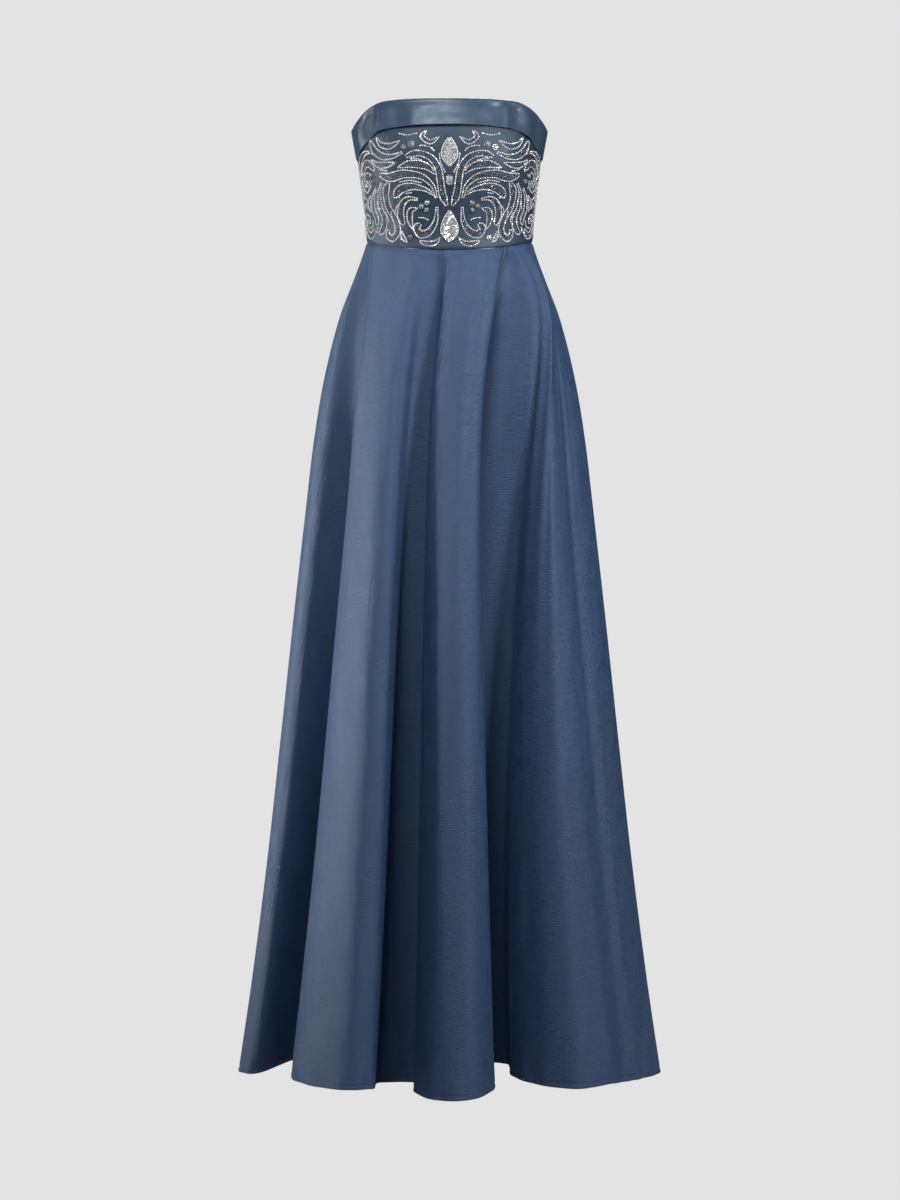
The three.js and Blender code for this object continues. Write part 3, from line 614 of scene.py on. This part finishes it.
def smoothLine(points, pitch):  # an even walk along a smooth curve through the points
    points = np.array(points, float)
    ends = np.vstack([2 * points[0] - points[1], points, 2 * points[-1] - points[-2]])
    t = np.linspace(0, len(points) - 1, 60 * (len(points) - 1))
    i = np.minimum(t.astype(int), len(points) - 2)
    f = (t - i)[:, None]
    a, b, c, d = (ends[i + step] for step in range(4))
    line = 0.5 * (2 * b + (c - a) * f + (2 * a - 5 * b + 4 * c - d) * f**2 + (3 * b - a - 3 * c + d) * f**3)
    gone = np.concatenate([[0], np.cumsum(np.linalg.norm(np.diff(line, axis=0), axis=1))])
    s = np.linspace(0, gone[-1], max(2, int(round(gone[-1] / pitch)) + 1))
    return np.stack([np.interp(s, gone, line[:, k]) for k in range(2)], 1)


def ribbonWidth(kind, share):  # the width's share of its greatest, from root to tip
    if kind == "leaf":
        return np.sin(np.pi * share) ** 0.75
    if kind == "tear":
        rise = 0.25 + 0.75 * np.sin(0.5 * np.pi * share / 0.78) ** 1.3
        return np.where(share < 0.78, rise, np.sqrt(np.maximum(0, 1 - ((share - 0.78) / 0.22) ** 2)))
    return np.minimum(1, 0.35 + 2.2 * np.sin(np.pi * share)) * (1 - 0.25 * share)


def ribbonRows(ribbon):  # two outlines, and inner rows that follow the spine
    line = smoothLine(ribbon["spine"], 0.25)
    along = np.gradient(line, axis=0)
    along /= np.linalg.norm(along, axis=1, keepdims=True)
    aside = np.stack([-along[:, 1], along[:, 0]], 1)
    half = beadwork["widen"] * ribbon["wide"] / 2 * ribbonWidth(ribbon["kind"], np.linspace(0, 1, len(line)))
    outline = [line + aside * (side * half)[:, None] for side in (-1, 1)]
    offsets = [0] if ribbon["wide"] < 6.4 else [-0.95, 0.95] if ribbon["wide"] < 8.2 else [-1.8, 0, 1.8]
    inner = [(line + aside * offset)[half - 1.7 > abs(offset) * 0.99] for offset in offsets]
    return outline, [row for row in inner if len(row) > 6]


def alongRow(row, pitch):  # evenly spaced places with the row's direction
    gone = np.concatenate([[0], np.cumsum(np.linalg.norm(np.diff(row, axis=0), axis=1))])
    s = np.arange(0, gone[-1], pitch)
    here, ahead, behind = (np.stack([np.interp(s + step, gone, row[:, k]) for k in range(2)], 1)
                           for step in (0, 0.3, -0.3))
    turns = np.arctan2(ahead[:, 1] - behind[:, 1], ahead[:, 0] - behind[:, 0])
    return zip(here[:, 0], here[:, 1], turns)


def appliqueHalfWidth(applique, share):
    wave = np.where(share < applique["widestAt"], share / applique["widestAt"],
                    (1 - share) / (1 - applique["widestAt"]))
    return np.maximum(0.6, applique["halfWidth"] * np.sin(np.clip(wave, 0, 1) * np.pi / 2) ** 0.9)


def planBeads():
    taken = []

    def isFree(x, y, room):
        if not beadwork["centreGap"] < x < beadwork["sideEnd"]:
            return False
        for across, up, wide, tall, high in stones.values():
            if ((x - across) / (wide / 2 + 1.7)) ** 2 + ((y - up) / (tall / 2 + 1.7)) ** 2 < 1:
                return False
        for applique in appliques.values():
            share = (y - applique["low"] + 2) / (applique["high"] - applique["low"] + 4)
            if 0 < share < 1 and x < appliqueHalfWidth(applique, share) + 1.5:
                return False
        near = np.array(taken) if taken else np.full((1, 2), 1e3)
        return not (np.hypot(near[:, 0] - x, near[:, 1] - y) < room).any()

    def lay(rows, pitch, room):
        laid = []
        for row in rows:
            for x, y, turn in alongRow(row, pitch):
                if isFree(x, y, room):
                    laid.append((x, y, turn))
                    taken.append((x, y))
        return laid

    ribbonSets = [ribbonRows(ribbon) for ribbon in ribbons]
    bright = lay([row for outline, inner in ribbonSets for row in outline], beadwork["brightPitch"], 1.55)
    bright += lay([smoothLine(tendril, 0.25) for tendril in tendrils], beadwork["brightPitch"], 1.6)
    dark = lay([row for outline, inner in ribbonSets for row in inner], beadwork["darkPitch"], 1.5)
    return bright, dark


def beadTemplate(name, size, segments, rings):
    bm = bmesh.new()
    bmesh.ops.create_uvsphere(bm, u_segments=segments, v_segments=rings, radius=0.5)
    bmesh.ops.rotate(bm, verts=bm.verts, matrix=Matrix.Rotation(math.pi / 2, 3, "Y"))
    bmesh.ops.scale(bm, verts=bm.verts, vec=Vector(size) * mm)
    return meshFrom(name, bm)


def sewOn(name, template, places, material):  # one piece out of many copies of a small mesh
    bm = bmesh.new()
    for place in places:
        copy = template.copy()
        copy.transform(place)
        bm.from_mesh(copy)
        bpy.data.meshes.remove(copy)
    mesh = meshFrom(name, bm)
    mesh.materials.append(material)
    piece = newObject(name, mesh)
    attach(piece, "gown")
    print(f"{name}: {len(places)} sewn on, {len(mesh.polygons)} faces")
    return piece


def makeGlint():  # small changes from bead to bead and over each facet, on Object coordinates
    group, given, result = newGroup("glint", [
        ("Scale", "NodeSocketFloat", 500.0), ("Dark", "NodeSocketColor", (0.3, 0.3, 0.3, 1)),
        ("Light", "NodeSocketColor", (0.9, 0.9, 0.9, 1)), ("Rough", "NodeSocketFloat", 0.2),
    ], [("Color", "NodeSocketColor"), ("Roughness", "NodeSocketFloat"), ("Height", "NodeSocketFloat")])
    at = addNode(group, "ShaderNodeTexCoord").outputs["Object"]
    noise = addNode(group, "ShaderNodeTexNoise", {"Detail": 1.5},
                    {"Vector": at, "Scale": given.outputs["Scale"]})
    fine = addNode(group, "ShaderNodeTexNoise", {"Scale": 2600.0, "Detail": 2.0}, {"Vector": at})
    spread = addNode(group, "ShaderNodeMapRange", {"From Min": 0.36, "From Max": 0.64},
                     {"Value": noise.outputs["Fac"]}).outputs[0]
    mix = addNode(group, "ShaderNodeMix", {"data_type": "RGBA"})
    group.links.new(spread, mix.inputs["Factor"])
    for shade, side in (("Dark", "A"), ("Light", "B")):
        entry = next(i for i in mix.inputs if i.name == side and i.type == "RGBA")
        group.links.new(given.outputs[shade], entry)
    speckle = mathNode(group, "MULTIPLY", fine.outputs["Fac"], 0.16)
    rough = mathNode(group, "ADD", given.outputs["Rough"], speckle)
    group.links.new(next(o for o in mix.outputs if o.type == "RGBA"), result.inputs["Color"])
    group.links.new(rough, result.inputs["Roughness"])
    group.links.new(fine.outputs["Fac"], result.inputs["Height"])
    return group


glint = makeGlint()


def glintMaterial(name, dark, light, metallic, rough, scale=500.0, coat=0.0, bump=0.1):
    material, tree, shader = newMaterial(name)
    effect = tree.nodes.new("ShaderNodeGroup")
    effect.node_tree = glint
    effect.inputs["Scale"].default_value = scale
    effect.inputs["Dark"].default_value = (*dark, 1)
    effect.inputs["Light"].default_value = (*light, 1)
    effect.inputs["Rough"].default_value = rough
    normal = addNode(tree, "ShaderNodeBump", {"Strength": bump, "Distance": 0.0001},
                     {"Height": effect.outputs["Height"]})
    tree.links.new(effect.outputs["Color"], shader.inputs["Base Color"])
    tree.links.new(effect.outputs["Roughness"], shader.inputs["Roughness"])
    tree.links.new(normal.outputs[0], shader.inputs["Normal"])
    shader.inputs["Metallic"].default_value = metallic
    shader.inputs["Coat Weight"].default_value = coat
    shader.inputs["Coat Roughness"].default_value = 0.05
    return material


silverBead = glintMaterial("silverBead", (0.66, 0.66, 0.67), (1.0, 1.0, 0.98), 0.25, 0.12)
gunmetalBead = glintMaterial("gunmetalBead", (0.03, 0.03, 0.035), (0.46, 0.45, 0.44), 0.55, 0.18)
silverSequin = glintMaterial("silverSequin", (0.55, 0.55, 0.56), (0.98, 0.97, 0.95), 0.7, 0.12, scale=360.0)
dullSequin = glintMaterial("dullSequin", (0.16, 0.16, 0.17), (0.60, 0.59, 0.58), 0.5, 0.3, scale=620.0)
smokyCrystal = glintMaterial("smokyCrystal", (0.12, 0.13, 0.12), (0.86, 0.88, 0.82), 0.5, 0.03, scale=330.0,
                             coat=0.8, bump=0.02)
copperCrystal = glintMaterial("copperCrystal", (0.30, 0.14, 0.10), (0.86, 0.56, 0.46), 0.6, 0.05, scale=330.0,
                              coat=0.8, bump=0.02)
settingMetal = glintMaterial("settingMetal", (0.34, 0.33, 0.31), (0.62, 0.61, 0.58), 0.9, 0.22)
zipEnamel = glintMaterial("zipEnamel", (0.016, 0.026, 0.052), (0.034, 0.052, 0.094), 0.45, 0.24, scale=240.0,
                          coat=0.3)

random = np.random.default_rng(beadwork["seed"])


def beadPlaces(laid):
    places = []
    for x, y, turn in laid:
        for side in (1, -1):
            tilt = random.normal(0, beadwork["tilt"], 2)
            heading = turn if side > 0 else math.pi - turn
            place = frontFrame(side * x, y, beadwork["lift"], heading)
            places.append(place @ Matrix.Rotation(tilt[0] * 0.5, 4, "Y")
                          @ Matrix.Rotation(tilt[1] * 3, 4, "X"))
    return places


brightBeads, darkBeads = planBeads()
brightTemplate = beadTemplate("silverBeadShape", beadwork["brightBead"], 6, 4)
darkTemplate = beadTemplate("gunmetalBeadShape", beadwork["darkBead"], 5, 3)
silverBeads = sewOn("beads_silver", brightTemplate, beadPlaces(brightBeads), silverBead)
gunmetalBeads = sewOn("beads_gunmetal", darkTemplate, beadPlaces(darkBeads), gunmetalBead)


# The two appliques: a stiff backing under overlapping sequins.

def appliquePlace(applique):
    def place(across, up):
        share = 0.008 + 0.984 * up
        height = applique["low"] + (applique["high"] - applique["low"]) * share
        reach = (2 * across - 1) * appliqueHalfWidth(applique, share)
        return frontPoint(reach, height, shape["layerGap"] + applique["thickness"])
    return place


def sequinTemplate(name, radius, thickness):
    bm = bmesh.new()
    bmesh.ops.create_cone(bm, cap_ends=True, cap_tris=False, segments=8, radius1=radius * mm,
                          radius2=0.8 * radius * mm, depth=thickness * mm)
    return meshFrom(name, bm)


def coverApplique(name, template, rowStep, acrossStep, material, lift):
    applique = appliques[name]
    places = []
    height, odd = applique["low"] + 1.3, False
    while height < applique["high"] - 0.8:
        share = (height - applique["low"]) / (applique["high"] - applique["low"])
        reach = float(appliqueHalfWidth(applique, share)) - 0.5
        start = acrossStep / 2 if odd else 0
        rightHalf = np.arange(start, reach, acrossStep)
        leftHalf = -np.arange(start or acrossStep, reach, acrossStep)
        for x in [*rightHalf, *leftHalf]:
            tilt = random.normal(0, 0.16, 2)
            top = shape["layerGap"] + applique["thickness"] + lift
            place = frontFrame(x + random.normal(0, 0.1), height, top)
            places.append(place @ Matrix.Rotation(-0.22 + tilt[0], 4, "X") @ Matrix.Rotation(tilt[1], 4, "Y"))
        height, odd = height + rowStep, not odd
    edge = []
    for side in (-1, 1):
        share = np.linspace(0.0, 1, 60)
        up = applique["low"] + (applique["high"] - applique["low"]) * share
        edge.append(np.stack([side * (appliqueHalfWidth(applique, share) + 0.7), up], 1))
    rim = [frontFrame(x, y, beadwork["lift"] + 0.4, turn)
           for row in edge for x, y, turn in alongRow(row, 2.3)]
    return [sewOn(name + "_sequins", template, places, material),
            sewOn(name + "_edge_beads", brightTemplate, rim, silverBead)]


for name, applique in appliques.items():
    backing = clothPiece(name + "_backing", 12, 20, appliquePlace(applique), bodiceSatin,
                         applique["thickness"])
    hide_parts(name)
    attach(backing, "gown")
onBud = coverApplique("applique_bud", sequinTemplate("smallSequin", 1.05, 0.3), 1.6, 1.75, dullSequin, 0.25)
onDrop = coverApplique("applique_drop", sequinTemplate("largeSequin", 1.75, 0.3), 2.4, 2.7, silverSequin,
                       0.35)


# The stones keep their solids; each gets its colour and a claw setting.

def settingTemplate():
    bm = bmesh.new()
    bmesh.ops.create_cone(bm, cap_ends=False, segments=16, radius1=0.56, radius2=0.53, depth=0.36)
    bmesh.ops.translate(bm, verts=bm.verts, vec=(0, 0, 0.18))
    bmesh.ops.solidify(bm, geom=bm.faces[:], thickness=-0.035)
    for corner in range(4):
        angle = math.pi / 4 + corner * math.pi / 2
        claw = bmesh.ops.create_icosphere(bm, subdivisions=1, radius=0.5)["verts"]
        bmesh.ops.scale(bm, verts=claw, vec=(0.2, 0.15, 0.34))
        bmesh.ops.rotate(bm, verts=claw, matrix=Matrix.Rotation(angle, 3, "Z"))
        bmesh.ops.translate(bm, verts=claw, vec=(0.46 * math.cos(angle), 0.46 * math.sin(angle), 0.44))
    return meshFrom("settingShape", bm)


def finishStones():
    settings = []
    for name, (across, up, wide, tall, high) in stones.items():
        for side in (1, -1) if across else (1,):
            node = "stone_" + name + ("" if not across else "_r" if side > 0 else "_l")
            for materialSlot in nodes[node].material_slots:
                materialSlot.material = copperCrystal if name == "low_single" else smokyCrystal
            size = Matrix.Diagonal((wide * mm, tall * mm, high * mm, 1))
            settings.append(frontFrame(side * across, up, 0.2) @ size)
    return sewOn("stone_settings", settingTemplate(), settings, settingMetal)


stoneSettings = finishStones()
print("beadwork made")


# The zip: a woven tape inside, its coil, and the slider and tab in enamel.

zipParts = {
    "topBack": -10, "end": -346, "tapeHalfWidth": 11, "tapeThickness": 0.9,
    "coilPitch": 1.5, "coilAside": 0.9,
    "tooth": (2.1, 1.0, 0.8), "cut": (0.022, 0.33),
}


def tapePoint(share, z, out):  # share from -1 to 1 across the tape, out from its outer face
    waist = waistHeight(180)
    upper = bodyPoint(180 - share * zipParts["tapeHalfWidth"] / shape["perDegree"], z,
                      out - shape["bodiceCloth"] - shape["layerGap"])
    top = waist - shape["seamGap"] / 2
    down = np.clip((z - top) / (shape["hem"] + skirtFolds[centreBack][3] - top), 0, 1)
    middle = np.full_like(down, centreBack)
    reach = np.linalg.norm(skirtPoint(middle, down) - skirtPoint(middle - 0.5, down), axis=-1)
    spot = middle - 0.5 * share * zipParts["tapeHalfWidth"] / reach
    inward = np.broadcast_to(out - shape["bodiceCloth"] - shape["layerGap"], down.shape)[:, None]
    lower = skirtPoint(spot, down) + skirtOutward(spot, down) * inward
    lower[:, 2] = z
    return np.where((z > waist)[:, None], upper, lower)


def tapePlace(across, up):
    low, high = zipParts["end"], zipParts["topBack"] - cuff["insideLeg"] - shape["cuffCloth"]
    return tapePoint(2 * across - 1, low + (high - low) * up, 0.0)


zipTape = clothPiece("zip_tape_woven", 8, 110, tapePlace, skirtSatin, zipParts["tapeThickness"])
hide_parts("zip_tape")
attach(zipTape, "gown")


def makeCoil():
    places = []
    low, high = zipParts["end"] + 4, zipParts["topBack"] - cuff["insideLeg"] - shape["cuffCloth"] - 3
    heights = np.arange(low, high, zipParts["coilPitch"] / 2)
    side = np.where(np.arange(len(heights)) % 2, 1.0, -1.0)
    share = side * zipParts["coilAside"] / zipParts["tapeHalfWidth"]
    out = np.full_like(heights, -zipParts["tapeThickness"] - 0.3)
    for point, s in zip(tapePoint(share, heights, out), side):
        places.append(Matrix.Translation(Vector(point) * mm) @ Matrix.Rotation(0.25 * s, 4, "Y"))
    return sewOn("zip_coil", beadTemplate("toothShape", zipParts["tooth"], 6, 4), places, zipEnamel)


makeCoil()
for node in ("zip_slider", "zip_pull_tab"):
    for materialSlot in nodes[node].material_slots:
        materialSlot.material = zipEnamel
print("zip made")


# Camera, light and floor.

view = {"distance": 4.0, "height": -0.657, "lens": 85.71, "aside": 0.0007}
studio = {
    "backdrop": (0.768, 0.768, 0.768),  # a pale grey, the same on the floor and behind
    "fill": (0.34, 0.67, 1.0), "fillStrength": 0.085, "floorHalf": 40, "floorBelow": 0.012,
}
camera = newObject("camera", bpy.data.cameras.new("camera"))
camera.location = (view["aside"], -view["distance"], view["height"])
camera.rotation_euler = (math.pi / 2, 0, 0)
camera.data.lens = view["lens"]
camera.data.sensor_width = 36
camera.data.clip_end = 100
bpy.context.scene.camera = camera
bpy.context.scene.view_settings.view_transform = "Standard"


def splitByCamera(tree, unseen, seen):  # the camera gets the second shader and all other rays the first
    path = tree.nodes.new("ShaderNodeLightPath")
    mix = tree.nodes.new("ShaderNodeMixShader")
    tree.links.new(path.outputs["Is Camera Ray"], mix.inputs[0])
    tree.links.new(unseen.outputs[0], mix.inputs[1])
    tree.links.new(seen.outputs[0], mix.inputs[2])
    return mix.outputs[0]


def makeWorld():
    world = bpy.data.worlds.new("studio")
    bpy.context.scene.world = world
    world.use_nodes = True
    tree = world.node_tree
    tree.nodes.clear()
    seen = addNode(tree, "ShaderNodeBackground", {"Color": (*studio["backdrop"], 1), "Strength": 1.0})
    fill = addNode(tree, "ShaderNodeBackground",
                   {"Color": (*studio["fill"], 1), "Strength": studio["fillStrength"]})
    output = tree.nodes.new("ShaderNodeOutputWorld")
    tree.links.new(splitByCamera(tree, fill, seen), output.inputs[0])


lights = [  # metres, watts and degrees
    {"name": "sideKey", "at": (-3.88, 0.12, -0.6), "to": (0, 0, -0.6), "wide": 0.4, "tall": 1.0,
     "watts": 4.9, "spread": 30},
    {"name": "frontKey", "at": (-0.35, -1.5, 0.95), "to": (0, 0, 0), "wide": 0.8, "tall": 0.5,
     "watts": 10, "spread": 110},
    {"name": "softKey", "at": (2.1, -2.0, 0.35), "to": (0, 0, -0.25), "wide": 0.5, "tall": 0.8,
     "watts": 12, "spread": 80},
    {"name": "backSoft", "at": (0.3, 2.6, 1.9), "to": (0, 0, -0.5), "wide": 0.9, "tall": 0.9,
     "watts": 34, "spread": 180},
    {"name": "rim", "at": (2.8, -0.95, -0.3), "to": (0, 0, -0.6), "wide": 0.8, "tall": 1.4,
     "watts": 4.4, "spread": 180},
]


def makeLight(name, at, to, wide, tall, watts, spread):
    lamp = bpy.data.lights.new(name, "AREA")
    lamp.energy, lamp.shape, lamp.size, lamp.size_y = watts, "RECTANGLE", wide, tall
    lamp.spread = math.radians(spread)
    light = newObject(name, lamp)
    light.location = at
    light.rotation_euler = (Vector(to) - Vector(at)).to_track_quat("-Z", "Y").to_euler()


makeWorld()
for light in lights:
    makeLight(**light)


def makeFloor():
    bm = bmesh.new()
    bmesh.ops.create_grid(bm, x_segments=8, y_segments=8, size=studio["floorHalf"])
    bmesh.ops.translate(bm, verts=bm.verts, vec=(0, 0, cadBox[0][2] - studio["floorBelow"]))
    floor = newObject("floor", meshFrom("floor", bm))
    material, tree, shader = newMaterial("paleFloor")
    shader.inputs["Base Color"].default_value = (0.5, 0.5, 0.5, 1)
    shader.inputs["Roughness"].default_value = 0.9
    glow = addNode(tree, "ShaderNodeEmission", {"Color": (*studio["backdrop"], 1), "Strength": 1.0})
    output = next(node for node in tree.nodes if node.type == "OUTPUT_MATERIAL")
    tree.links.new(splitByCamera(tree, shader, glow), output.inputs[0])
    floor.data.materials.append(material)


makeFloor()
print("camera, lights and floor made")
